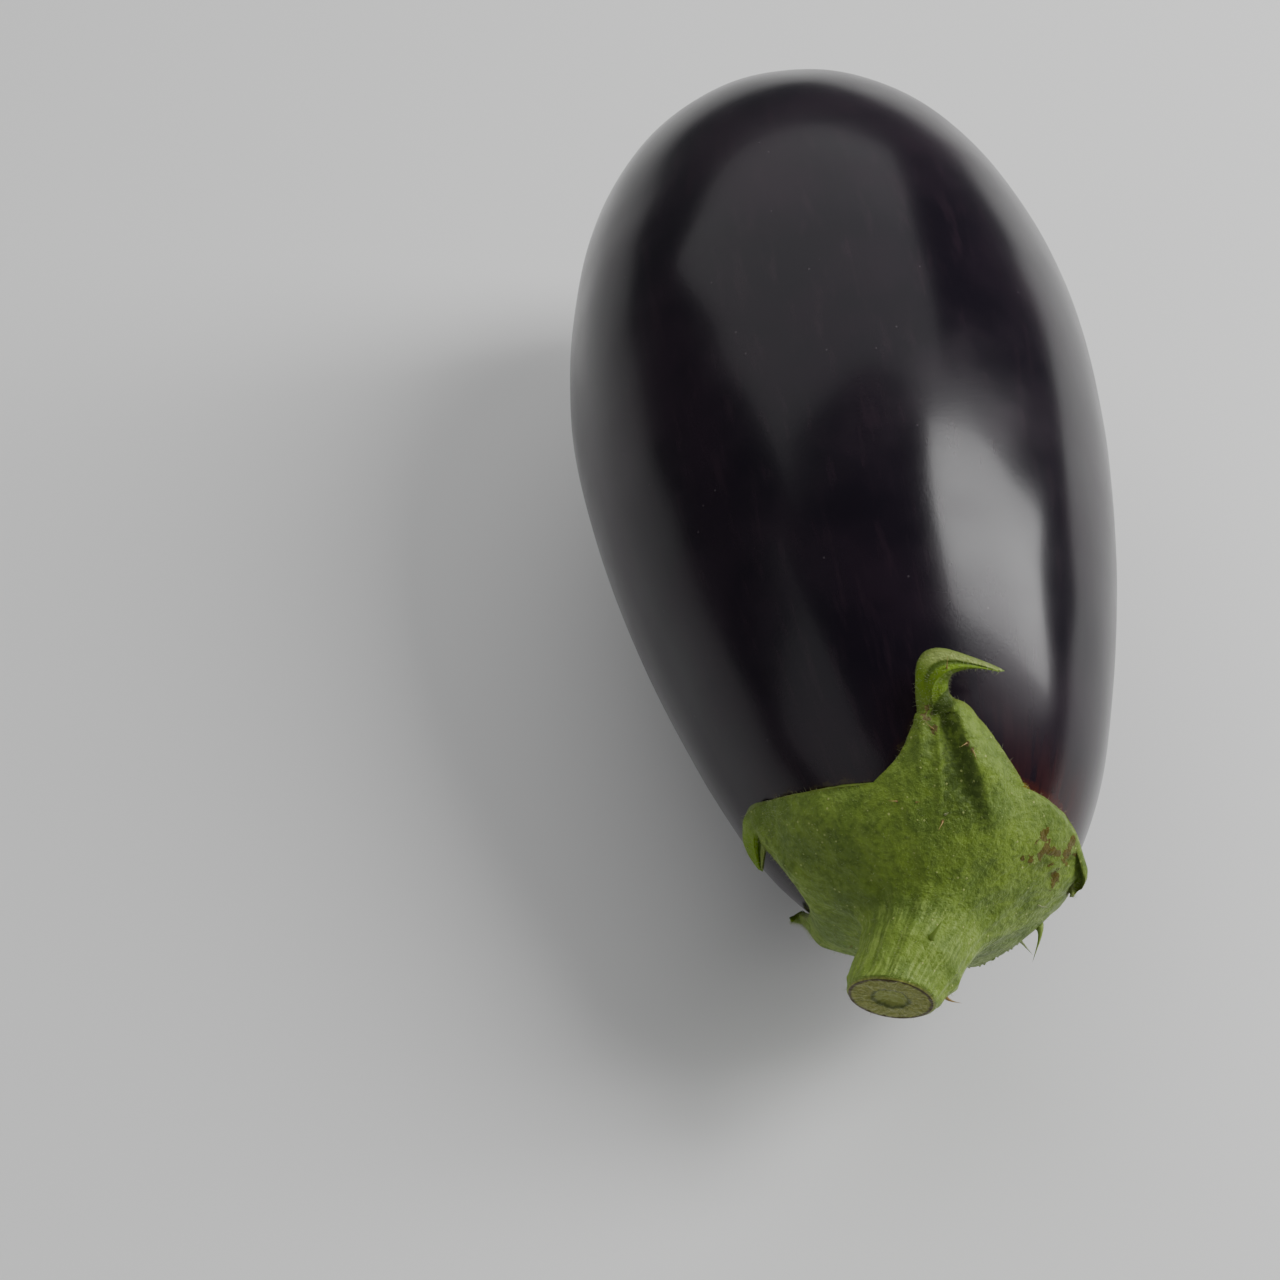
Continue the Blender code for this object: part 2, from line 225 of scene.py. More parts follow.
# Painted shade for the sunken pits
PIT_SHADE_GREEN = (0.055, 0.085, 0.004, 1)
SCAR_DARK = (0.06, 0.05, 0.003, 1)
SCAR_LIGHT = (0.155, 0.116, 0.01, 1)
FLECK_BROWN = (0.13, 0.105, 0.03, 1)
CUT_FLESH = (0.19, 0.212, 0.034, 1)
CUT_FIBRE = (0.305, 0.325, 0.078, 1)
CUT_RIM = (0.06, 0.04, 0.008, 1)
PITH = (0.26, 0.3, 0.065, 1)
PITH_RING = (0.06, 0.085, 0.014, 1)
SKIN_BLACK = (0.006, 0.0035, 0.008, 1)
SKIN_PURPLE = (0.0125, 0.006, 0.0125, 1)
SKIN_STREAK = (0.021, 0.011, 0.018, 1)
SKIN_RED = (0.04, 0.01, 0.011, 1)
SKIN_DOT = (0.09, 0.075, 0.085, 1)
BORDER_RED = (0.09, 0.018, 0.008, 1)
BORDER_PALE = (0.26, 0.22, 0.03, 1)
BLOSSOM_SCAR = (0.085, 0.055, 0.032, 1)
HAIR_PALE = (0.42, 0.46, 0.26, 1)
HAIR_BROWN = (0.33, 0.19, 0.065, 1)
SHEEN_GREEN = (0.75, 0.85, 0.55, 1)
FLOOR_PALE = (0.86, 0.86, 0.85, 1)
SKY_PALE = (0.86, 0.88, 0.92, 1)

# Camera and stage
CAMERA_PLACE = Vector((-0.0726, -0.2545, 0.3608))
CAMERA_HEADING = Vector((0.1416, 0.9897, 0.0))
CAMERA_PITCH = math.radians(55.1)
CAMERA_LENS = 63.28
CAMERA_SENSOR = 36.0
FLOOR_SIZE = 6.0
LIGHT_AIM = Vector((0, -0.02, 0.05))
SKY_STRENGTH = 0.14


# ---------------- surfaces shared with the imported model


def outline_radius(cosine):
    """The outline's plain radius, where the cosine is 1 at the blossom end and -1 at the stalk end."""
    powers = np.polynomial.polynomial.polyval(cosine, FULLNESS)
    return np.sqrt(np.clip(1 - cosine**2, 0, None)) * powers


STATIONS = np.cos(np.linspace(0, math.pi, 721))
RADIUS_SCALE = BODY_DIAMETER / 2 / outline_radius(STATIONS).max()


def section_radius(cosine, turn):
    """The berry's radius at a station, with its faint lobes, where the turn is 0 at the top."""
    lobes = sum(share * np.cos(count * turn + phase) for count, share, phase in LOBES)
    return outline_radius(cosine) * RADIUS_SCALE * (1 + lobes)


def body_axis(cosine):
    """Points along the berry's slightly bowed middle line."""
    return np.stack([BOW * cosine**2, BODY_LENGTH / 2 * cosine, 0 * cosine], axis=-1)


def drooped(points, angle=DROOP):
    """Points turned about X, so that a positive angle lowers the stalk end."""
    x, y, z = np.moveaxis(points, -1, 0)
    turned_y = y * math.cos(angle) - z * math.sin(angle)
    turned_z = y * math.sin(angle) + z * math.cos(angle)
    return np.stack([x, turned_y, turned_z], axis=-1)


def resting_shift():
    """The move that brings the berry's lowest point to the middle of its resting flat."""
    underside = body_axis(STATIONS)
    underside[:, 2] -= section_radius(STATIONS, math.pi)
    lowest = min(drooped(underside), key=lambda point: point[2])
    return -lowest - np.array([0, 0, FLAT_DEPTH])


BODY_MIDDLE = resting_shift()


def body_point(cosine, turn):
    """The point of the berry's round surface at a station and a turn."""
    radius = section_radius(cosine, turn)
    across = np.stack([np.sin(turn), 0 * turn, np.cos(turn)], axis=-1)
    return drooped(body_axis(cosine) + across * radius[..., None]) + BODY_MIDDLE


def level(points):
    """A measure that is 0 on the berry's round surface and rises outwards."""
    x, y, z = np.moveaxis(drooped(points - BODY_MIDDLE, -DROOP), -1, 0)
    along = 2 * y / BODY_LENGTH
    cosine = np.clip(along, -1, 1)
    x = x - BOW * cosine**2
    past_end = np.abs(along - cosine) * BODY_LENGTH / 2
    return np.hypot(x, z) - section_radius(cosine, np.arctan2(x, z)) + past_end


def height_over_skin(points):
    """Roughly how far points stand outside the berry, and which way is out."""
    step = 1e-5
    slopes = [level(points + offset) - level(points - offset) for offset in step * np.eye(3)]
    slope = np.stack(slopes, axis=-1) / (2 * step)
    steepness = np.linalg.norm(slope, axis=-1, keepdims=True)
    return level(points) / steepness[..., 0], slope / steepness


def crown_frame():
    """The turning point inside the stalk end, and the cap's outward, upward and +X directions."""
    outward = np.array([math.sin(CROWN_SWING), -math.cos(CROWN_SWING), 0.0])
    outward = outward * math.cos(CROWN_LIFT) + np.array([0, 0, math.sin(CROWN_LIFT)])
    outward = drooped(outward)
    aside = np.cross(outward, [0, 0, 1.0])
    aside = -aside / np.linalg.norm(aside)
    upward = np.cross(outward, aside)
    end = body_point(np.array(-1.0), np.array(0.0))
    return end - CROWN_DEPTH * drooped(np.array([0, -1.0, 0])), outward, upward, aside


CROWN_CENTRE, CROWN_OUT, CROWN_UP, CROWN_ASIDE = crown_frame()


def skin_point(distance, bearing):
    """The point of the skin at a distance from the cap's middle, at a bearing clockwise from the top."""
    angle = np.asarray(distance) / CROWN_DEPTH
    sideways = np.cos(bearing)[..., None] * CROWN_UP + np.sin(bearing)[..., None] * CROWN_ASIDE
    ray = np.cos(angle)[..., None] * CROWN_OUT + np.sin(angle)[..., None] * sideways
    near = np.zeros(ray.shape[:-1])
    far = np.full(ray.shape[:-1], BODY_LENGTH)
    for _ in range(36):
        middle = (near + far) / 2
        inside = level(CROWN_CENTRE + ray * middle[..., None]) < 0
        near = np.where(inside, middle, near)
        far = np.where(inside, far, middle)
    return CROWN_CENTRE + ray * near[..., None]


def kept_clear(points, clearance):
    """Points moved out along the skin's own direction until they stand clear of it."""
    for _ in range(4):
        height, out = height_over_skin(points)
        points = points + out * np.clip(clearance - height, 0, None)[..., None]
    return points


def raised(distance, bearing, height):
    """The point that stands a height over the skin, at a distance and bearing from the middle of the cap."""
    foot = skin_point(distance, bearing)
    out = height_over_skin(foot)[1]
    return foot + out * np.asarray(height)[..., None]


def unit(vectors):
    return vectors / np.linalg.norm(vectors, axis=-1, keepdims=True)


def bezier(start, first, second, end, share):
    """Points along a cubic curve, with shares in a leading axis."""
    share = np.asarray(share).reshape((-1,) + (1,) * np.ndim(start))
    rest = 1 - share
    return rest**3 * start + 3 * rest**2 * share * first + 3 * rest * share**2 * second + share**3 * end


def smooth(value, low, high):
    """0 below low, 1 above high, and a soft step between."""
    share = np.clip((np.asarray(value) - low) / (high - low), 0, 1)
    return share * share * (3 - 2 * share)


def bell(value, middle, width):
    """1 at the middle, and falling off to either side over about the width."""
    return np.exp(-(((value - middle) / width) ** 2))


def noise_at(points, size, octaves, seed):
    """Cloudy noise from about -1 to 1, where size is the width of a cloud."""
    shift = Vector((seed, seed * 0.7, -seed))
    return np.array([noise.fractal(Vector(p) / size + shift, 0.9, 2.0, octaves) for p in points])


# ---------------- a mesh that is gathered ring by ring


class Sheet:
    """Points with their marks, and faces between rows of them."""

    def __init__(self, *marks):
        self.points = []
        self.faces = []
        self.marks = {name: [] for name in marks}

    def add(self, points, **marks):
        """Adds a row of points, and gives their numbers."""
        first = len(self.points)
        self.points.extend(points)
        for name, values in self.marks.items():
            values.extend(np.broadcast_to(marks.get(name, 0.0), (len(points),)))
        return list(range(first, len(self.points)))

    def ring_band(self, first, second):
        """Faces between two closed rings."""
        self.row_band(first + first[:1], second + second[:1])

    def row_band(self, first, second):
        """Faces between two rows."""
        for i in range(len(first) - 1):
            self.faces.append((first[i], first[i + 1], second[i + 1], second[i]))

    def fan(self, row, centre):
        """Faces from a row to one point."""
        for i in range(len(row) - 1):
            self.faces.append((row[i], row[i + 1], centre))

    def mark(self, name):
        return np.array(self.marks[name])

    def mesh(self, name):
        """A closed mesh with its normals outwards and the marks as attributes."""
        made = bpy.data.meshes.new(name)
        made.from_pydata([tuple(point) for point in self.points], [], self.faces)
        for mark, values in self.marks.items():
            attribute = made.attributes.new(mark, "FLOAT", "POINT")
            attribute.data.foreach_set("value", np.array(values, np.float32))
        made.shade_smooth()
        return made


def vertex_normals(mesh):
    normals = np.zeros(len(mesh.vertices) * 3, np.float32)
    mesh.vertex_normals.foreach_get("vector", normals)
    return normals.reshape(-1, 3).astype(float)


def vertex_points(mesh):
    points = np.zeros(len(mesh.vertices) * 3, np.float32)
    mesh.vertices.foreach_get("co", points)
    return points.reshape(-1, 3).astype(float)


def vertex_mark(mesh, name):
    values = np.zeros(len(mesh.vertices), np.float32)
    mesh.attributes[name].data.foreach_get("value", values)
    return values


def set_points(mesh, points):
    mesh.vertices.foreach_set("co", points.astype(np.float32).ravel())
    mesh.update()


# ---------------- the cap and its stalk


def turn_from(bearing, degrees):
    """How far bearings lie clockwise of one in degrees, within half a turn either way."""
    return (bearing - np.radians(degrees) + math.pi) % (2 * math.pi) - math.pi


def ring_radius(distance):
    """The radius of a ring round the cap's middle, which turns bearings into sideways distances."""
    return CROWN_DEPTH * np.sin(distance / CROWN_DEPTH)


def aside_of(sepal, past, bearing):
    """How far to the right of a sepal's middle points lie."""
    return turn_from(bearing, sepal.tip_bearing) * ring_radius(np.clip(past + FLARE_DISTANCE, 0.004, None))


def level_direction(swing, rise):
    """A unit direction that leaves along -Y, swung towards +X and raised."""
    horizontal = np.array([math.sin(swing), -math.cos(swing), 0.0])
    return horizontal * math.cos(rise) + np.array([0, 0, math.sin(rise)])


STALK_DIRECTION = level_direction(STALK_SWING, STALK_RISE)
CUT_NORMAL = level_direction(CUT_SWING, 0.0)
STALK_ROOT = skin_point(np.array(0.0), np.array(0.0))


def stalk_ring(spokes, height, radius):
    """A ring round the stalk. Rings lean with the cut, and by the stalk's foot they stand square."""
    lean = spokes @ CUT_NORMAL / (STALK_DIRECTION @ CUT_NORMAL) * radius
    share = np.clip((height - STALK_FOOT_HEIGHT) / (STALK_LENGTH - STALK_FOOT_HEIGHT), 0, 1)
    return STALK_ROOT + spokes * radius + (height - share * lean)[:, None] * STALK_DIRECTION


def sepal_columns():
    """Each sepal's columns: bearings from notch to notch, and the distances where they leave the cap."""
    columns = []
    for number, sepal in enumerate(SEPALS):
        before = SEPALS[number - 1]
        start = before.notch_bearing - (360 if number == 0 else 0)
        bearings = np.radians(np.linspace(start, sepal.notch_bearing, 2 * HALF_COLUMNS + 1))
        edges = np.linspace(before.notch_distance, sepal.notch_distance, 2 * HALF_COLUMNS + 1)
        columns.append((bearings, FLARE_DISTANCE + edges))
    return columns


def cap_height(bearings, share):
    """The cap's thickness between the flare and the notches: it thins towards each notch."""
    away = np.abs(turn_from(bearings[:, None], [sepal.notch_bearing for sepal in SEPALS])).min(axis=1)
    thinning = share**2 * bell(away, 0, NOTCH_THINNING)
    return CAP_THICKNESS + (EDGE_THICKNESS - CAP_THICKNESS) * thinning


def add_cut_face(sheet, spokes, bearings):
    """The cut face, from its middle outwards."""
    rings = []
    for share in np.linspace(0, 1, CUT_RINGS + 1)[1:]:
        points = stalk_ring(spokes, STALK_LENGTH, (STALK_RADIUS - CUT_BEVEL) * share)
        rings.append(sheet.add(points, cut=1.0, radial=share, past=CUT_FACE_PAST, bearing=bearings))
    middle = sheet.add([STALK_ROOT + STALK_DIRECTION * STALK_LENGTH], cut=1.0, past=CUT_FACE_PAST)[0]
    sheet.fan(rings[0][::-1] + rings[0][-1:], middle)
    return rings


def add_stalk(sheet, spokes, bearings):
    """The stalk from its cut down to its foot. Gives its rings, and the points of the foot."""
    rings = []
    for share in np.linspace(0, 1, STALK_RINGS + 1):
        height = (STALK_LENGTH - CUT_BEVEL) * (1 - share) + STALK_FOOT_HEIGHT * share
        radius = STALK_RADIUS + (STALK_FOOT_RADIUS - STALK_RADIUS) * share**2
        foot = stalk_ring(spokes, height, radius)
        past = STALK_FOOT_PAST - height
        rings.append(sheet.add(foot, past=past, bearing=bearings, relief=smooth(share, 0, 0.15)))
    return rings, foot


def add_flare(sheet, foot, bearings):
    """The flare, from the stalk's foot out to the cap."""
    landing = raised(FLARE_DISTANCE, bearings, CAP_THICKNESS)
    onward = raised(FLARE_DISTANCE + MM, bearings, CAP_THICKNESS)
    reach = np.linalg.norm(landing - foot, axis=1, keepdims=True)
    leaving_foot = foot - STALK_DIRECTION * reach * FLARE_PULL
    nearing_landing = landing - unit(onward - landing) * reach * FLARE_PULL
    shares = np.linspace(0, 1, FLARE_RINGS + 1)[1:]
    rings = []
    for share, points in zip(shares, bezier(foot, leaving_foot, nearing_landing, landing, shares)):
        past = (STALK_FOOT_PAST - STALK_FOOT_HEIGHT) * (1 - share)
        rings.append(sheet.add(points, past=past, bearing=bearings, relief=1.0))
    return rings


def add_cap(sheet, bearings, edges):
    """The cap, from the flare out to the notches."""
    rings = []
    for share in np.linspace(0, 1, CAP_RINGS + 1)[1:]:
        distances = FLARE_DISTANCE + (edges - FLARE_DISTANCE) * share
        points = raised(distances, bearings, cap_height(bearings, share))
        rings.append(sheet.add(points, past=distances - FLARE_DISTANCE, bearing=bearings, relief=1.0))
    return rings


def add_stalk_and_cap(sheet, bearings, edges):
    """The cut face, the stalk, its flare and the cap out to the notches. Gives the last ring."""
    spokes = np.cos(bearings)[:, None] * CROWN_UP + np.sin(bearings)[:, None] * CROWN_ASIDE
    spokes = unit(spokes - (spokes @ STALK_DIRECTION)[:, None] * STALK_DIRECTION)
    rings = add_cut_face(sheet, spokes, bearings)
    stalk_rings, foot = add_stalk(sheet, spokes, bearings)
    rings += stalk_rings + add_flare(sheet, foot, bearings) + add_cap(sheet, bearings, edges)
    for first, second in zip(rings, rings[1:]):
        sheet.ring_band(first, second)
    return rings[-1]


def add_underside(sheet, bearings, edges):
    """The hidden face of the cap, next to the skin. Gives its outer ring."""
    rings = []
    for share in np.linspace(1, 0, UNDERSIDE_RINGS + 1)[:-1]:
        points = raised(edges * share, bearings, CLEARANCE)
        rings.append(sheet.add(points, inner=1.0, bearing=bearings, past=edges * share - FLARE_DISTANCE))
    for first, second in zip(rings, rings[1:]):
        sheet.ring_band(first, second)
    middle = raised(0.0, np.array([0.0]), CLEARANCE)
    sheet.fan(rings[-1] + rings[-1][:1], sheet.add(middle, inner=1.0, past=-FLARE_DISTANCE)[0])
    return rings[0]


def curl_frame(start, corners, aside, share):
    """A curling tip's point, sideways direction and upper side, carried along without twisting."""
    shares = np.linspace(0, 1, 65)
    path = bezier(start, *corners, shares)
    tangents = unit(np.gradient(path, axis=0))
    lateral = aside
    laterals = []
    for tangent in tangents:
        lateral = unit(lateral - (lateral @ tangent) * tangent)
        laterals.append(lateral)
    centre = np.array([np.interp(share, shares, path[:, i]) for i in range(3)])
    tangent = unit(np.array([np.interp(share, shares, tangents[:, i]) for i in range(3)]))
    lateral = unit(np.array([np.interp(share, shares, np.array(laterals)[:, i]) for i in range(3)]))
    return centre, lateral, np.cross(lateral, tangent)


class Blade:
    """One sepal past the notches: where its rows run, first over the skin and then along its curl."""

    def __init__(self, sepal, bearings, edges):
        leaving = FLARE_DISTANCE + sepal.leaving
        self.sepal = sepal
        self.edges = edges
        self.length = FLARE_DISTANCE + sepal.length
        self.across = np.linspace(-1, 1, 2 * HALF_COLUMNS + 1)
        self.middle, self.root = bearings[HALF_COLUMNS], edges[HALF_COLUMNS]
        self.drift = (math.radians(sepal.tip_bearing) - self.middle) / (leaving - self.root)
        self.root_widths = (bearings - self.middle) * ring_radius(edges)
        self.root_height = cap_height(bearings, 1.0) - CLEARANCE
        self.bulge = np.where(self.across < 0, sepal.bulge[0], sepal.bulge[1])
        self.leaving_share = (leaving - self.root) / (self.length - self.root)
        self.place_curl()

    def place_curl(self):
        """The start of the curl, its corners, and how the last row on the skin wraps round the berry."""
        last_row = self.placed(self.leaving_share, CLEARANCE)
        onward = self.placed(self.leaving_share + 0.02, CLEARANCE)[HALF_COLUMNS]
        self.start = last_row[HALF_COLUMNS]
        out = height_over_skin(self.start)[1]
        self.aside = unit(np.cross(onward - self.start, out))
        on = np.cross(out, self.aside)
        self.corners = [self.start + on * a + self.aside * b + out * c for a, b, c in self.sepal.curl]
        self.wrap = last_row - self.start - self.aside * self.flanks(self.leaving_share)[:, None]

    def flanks(self, share):
        """How far to the right of the middle column each column lies."""
        shoulders = self.sepal.shoulder * math.exp(-share / SHOULDER_REACH)
        blade = (1 - self.sepal.shoulder) * (1 - share) ** BLADE_POWER
        swell = self.sepal.swell * (bell(share, 0.76, 0.12) - 0.5 * bell(share, 0.54, 0.16))
        widening = 1 + self.bulge * bell(share, 0.24, 0.20) + swell
        return self.root_widths * (shoulders + blade) * widening

    def on_skin(self, share):
        """The columns' distances and bearings."""
        distances = self.edges + (self.length - self.edges) * share
        middle = self.middle + self.drift * (distances[HALF_COLUMNS] - self.root)
        return distances, middle + self.flanks(share) / ring_radius(distances)

    def placed(self, share, height):
        """A row of points that stands a height over the skin."""
        return raised(*self.on_skin(share), height)

    def thickness(self, share):
        """The blade's thickness, which thins from the middle to the edges and from the root to the tip."""
        crown = (1 - self.across**2) * (1 - share)
        free = (EDGE_THICKNESS + (CAP_THICKNESS - EDGE_THICKNESS) * crown) * (1 - TIP_THINNING * share)
        return self.root_height + (free - self.root_height) * smooth(share, 0, 0.3)

    def curled_row(self, share, curled):
        """The lower and upper points of a row on the free tip."""
        centre, lateral, up = curl_frame(self.start, self.corners, self.aside, curled)
        fold = math.radians(self.sepal.fold) * smooth(curled, 0.0, 0.45)
        flank = self.flanks(share)
        points = centre + lateral * (flank * math.cos(fold))[:, None]
        points = points - up * (np.abs(flank) * math.sin(fold))[:, None] + self.wrap * (1 - curled) ** 2
        top = points + up * self.thickness(share)[:, None]
        return kept_clear(points, CLEARANCE), kept_clear(top, CLEARANCE + EDGE_THICKNESS / 2)

    def row(self, share):
        """The lower and upper points of a row, and how far along the curl it is."""
        if share <= self.leaving_share:
            top = CLEARANCE + self.thickness(share)
            return self.placed(share, CLEARANCE), self.placed(share, top), 0.0
        curled = (share - self.leaving_share) / (1 - self.leaving_share)
        low, high = self.curled_row(share, curled)
        return low, high, curled


def add_sepal(sheet, sepal, bearings, edges, outer_start, inner_start):
    """One sepal past the notches: its outer and inner faces, its edges and its tip."""
    blade = Blade(sepal, bearings, edges)
    outer, inner = [outer_start], [inner_start]
    for share in np.arange(1, SEPAL_ROWS) / SEPAL_ROWS:
        low, high, curled = blade.row(share)
        distances, where = blade.on_skin(share)
        marks = {"past": distances - FLARE_DISTANCE, "bearing": where, "tip": share, "side": blade.across}
        outer.append(sheet.add(high, relief=1.0 - curled, curled=curled, **marks))
        under_relief = smooth(share, 0, 0.12) * (1 - curled)
        inner.append(sheet.add(low, inner=1.0, relief=under_relief, curled=curled, **marks))
    tip_point = kept_clear(blade.corners[-1][None], CLEARANCE + EDGE_THICKNESS / 4)
    tip_bearing = math.radians(sepal.tip_bearing)
    tip = sheet.add(tip_point, past=sepal.length, bearing=tip_bearing, tip=1.0, curled=1.0)[0]
    add_sepal_faces(sheet, outer, inner, tip)


def add_sepal_faces(sheet, outer, inner, tip):
    """The faces of a sepal, with the thin walls along both of its edges."""
    for first, second in zip(outer, outer[1:]):
        sheet.row_band(first, second)
    for first, second in zip(inner, inner[1:]):
        sheet.row_band(second, first)
    sheet.fan(outer[-1], tip)
    sheet.fan(inner[-1][::-1], tip)
    for side, order in ((0, 1), (-1, -1)):
        for j in range(len(outer) - 1):
            wall = (outer[j][side], outer[j + 1][side], inner[j + 1][side], inner[j][side])
            sheet.faces.append(wall[::order])
        sheet.faces.append((outer[-1][side], tip, inner[-1][side])[::order])


def from_crest(past, aside):
    """How far to the right of the upper sepal's crest."""
    return aside - (CREST_END_ASIDE + (CREST_END - past) * CREST_SLANT)


def upper_sepal_relief(past, aside):
    """The folds of the upper sepal: midrib, crest on its right, hollow between them, ridge on its left."""
    off_crest = from_crest(past, aside)
    steep = np.where(off_crest > 0, 5.5 * MM, 1.5 * MM)
    crest = CREST_HEIGHT * smooth(past, 1 * MM, 15 * MM) * bell(off_crest, 0, steep)
    midrib = MIDRIB_HEIGHT * smooth(past, 2 * MM, 9 * MM) * bell(aside, 0.2 * MM, 0.7 * MM)
    left = LEFT_RIDGE_HEIGHT * smooth(past, 8 * MM, 17 * MM) * bell(aside, -2.8 * MM, 1.2 * MM)
    hollow = -HOLLOW_DEPTH * smooth(past, 3 * MM, 10 * MM) * bell(off_crest, -2.2 * MM, 1.6 * MM)
    return crest + midrib + left + hollow


def calyx_relief(past, bearing, points):
    """How far the outer face of the cap stands out or in, besides its plain shape."""
    relief = np.zeros(len(past))
    for number, sepal in enumerate(SEPALS):
        aside = aside_of(sepal, past, bearing)
        if number == 0:
            relief += upper_sepal_relief(past, aside)
        else:
            relief += SEPAL_RIDGE_HEIGHT * smooth(past, -2 * MM, 8 * MM) * bell(aside, 0, 2.2 * MM)
        turn = turn_from(bearing, sepal.tip_bearing)
        relief += STALK_RIDGE_HEIGHT * smooth(-past, 2 * MM, 14 * MM) * bell(turn, 0.1, 0.22)
    fluting = np.cos(14 * bearing + 1.0) + 0.6 * np.cos(23 * bearing + 2.0)
    relief += FLUTE_HEIGHT * fluting * smooth(-past, -4 * MM, 8 * MM)
    relief += SWELL_HEIGHT * noise_at(points, 9 * MM, 2, 3.0)
    relief += PUCKER_HEIGHT * noise_at(points, 2.2 * MM, 3, 8.0)
    return relief


def spot_share(sheet, points, spots):
    """How much each point belongs to any of the spots, from 0 to 1."""
    past, bearing = sheet.mark("past"), sheet.mark("bearing")
    share = np.zeros(len(points))
    for spot_past, spot_bearing, radius in spots:
        turn = turn_from(bearing, spot_bearing)
        miss = np.hypot(past - spot_past * MM, turn * CROWN_DEPTH / 2)
        miss += sheet.mark("inner") + sheet.mark("cut")
        away = np.linalg.norm(points - points[np.argmin(miss)], axis=1)
        share = np.maximum(share, np.exp(-((away / (radius * MM)) ** 2)))
    return share


def hollow_and_painted_shade_share(sheet):
    """How much each point lies in the upper sepal's hollow, whose darker green is partly painted shade."""
    past = sheet.mark("past")
    aside = aside_of(SEPALS[0], past, sheet.mark("bearing"))
    inside = smooth(aside, -0.3 * MM, 1.4 * MM) * (1 - smooth(from_crest(past, aside), -0.9 * MM, 0.5 * MM))
    left = 0.6 * bell(aside, -1.3 * MM, 1.1 * MM) * smooth(past, 8 * MM, 15 * MM)
    return np.maximum(inside * smooth(past, 0.5 * MM, 6 * MM), left) * (1 - sheet.mark("curled"))


def lap_share(sheet):
    """How much each point belongs to the end of the upper blade that the hooked tip laps over: sunk a
    little, and painted shade.
    """
    curled, side = sheet.mark("curled"), sheet.mark("side")
    outer = 1 - sheet.mark("inner")
    upper = np.abs(sheet.mark("bearing") - math.radians(SEPALS[0].tip_bearing)) < 0.8
    beyond_step = smooth(side + 0.7 - 4.2 * curled, 0, 0.22)
    return upper * beyond_step * smooth(curled, 0, 0.10) * (1 - smooth(curled, 0.28, 0.40)) * outer


def cut_relief(sheet, points):
    """The cut face: rough flesh, and a pith that has sunk."""
    radial = sheet.mark("radial")
    rough = CUT_HEIGHT * noise_at(points, 1.1 * MM, 3, 5.0) - PITH_DEPTH * (1 - smooth(radial, 0.3, 0.45))
    return rough * sheet.mark("cut") * (1 - smooth(radial, 0.9, 1.0))


def whole_relief(sheet, points):
    """How far every point of the cap and stalk moves along its normal."""
    curled = sheet.mark("curled")
    relief = calyx_relief(sheet.mark("past"), sheet.mark("bearing"), points) * sheet.mark("relief")
    crease = bell(sheet.mark("side"), -0.42, 0.14) * smooth(curled, 0.2, 0.4)
    relief -= CREASE_DEPTH * crease * (1 - sheet.mark("inner")) * (1 - smooth(curled, 0.85, 1.0))
    relief -= PIT_DEPTH * sheet.mark("pit") + LAP_DEPTH * sheet.mark("lap")
    relief += SCAR_HEIGHT * sheet.mark("scar") * noise_at(points, 0.9 * MM, 3, 6.0)
    return relief + cut_relief(sheet, points)


def calyx_sheet():
    """The cap and stalk in their plain shape, with all marks."""
    marks = "past bearing tip side curled inner cut radial relief scar pit fleck hollow lap"
    sheet = Sheet(*marks.split())
    columns = sepal_columns()
    bearings = np.concatenate([column[0][:-1] for column in columns])
    edges = np.concatenate([column[1][:-1] for column in columns])
    outer_ring = add_stalk_and_cap(sheet, bearings, edges)
    inner_ring = add_underside(sheet, bearings, edges)
    width = 2 * HALF_COLUMNS
    for number, (sepal, column) in enumerate(zip(SEPALS, columns)):
        around = [(number * width + i) % len(bearings) for i in range(width + 1)]
        outer_start = [outer_ring[i] for i in around]
        inner_start = [inner_ring[i] for i in around]
        add_sepal(sheet, sepal, *column, outer_start, inner_start)
    points = np.array(sheet.points)
    for mark, spots in (("scar", SCARS), ("pit", PITS), ("fleck", FLECKS)):
        sheet.marks[mark] = spot_share(sheet, points, spots)
    sheet.marks["hollow"] = hollow_and_painted_shade_share(sheet)
    sheet.marks["lap"] = lap_share(sheet)
    return sheet


def make_calyx():
    """The cap with its relief. Points near its edges are kept clear of the skin."""
    sheet = calyx_sheet()
    mesh = sheet.mesh("eggplant_calyx")
    points = vertex_points(mesh)
    inside = sheet.mark("inner") > 0.5
    relief = whole_relief(sheet, points)
    moved = points + vertex_normals(mesh) * np.where(inside, -1, 1)[:, None] * relief[:, None]
    height = np.where(inside, CLEARANCE, CLEARANCE + 0.4 * EDGE_THICKNESS)
    near_edge = sheet.mark("past") > KEPT_CLEAR_PAST
    set_points(mesh, np.where(near_edge[:, None], kept_clear(moved, height), moved))
    mesh.set_sharp_from_angle(angle=SHARP_ANGLE)
    return placed_piece("eggplant_calyx", mesh, "calyx", calyx_material(), "calyx_with_stalk")


# ---------------- hairs and prickles

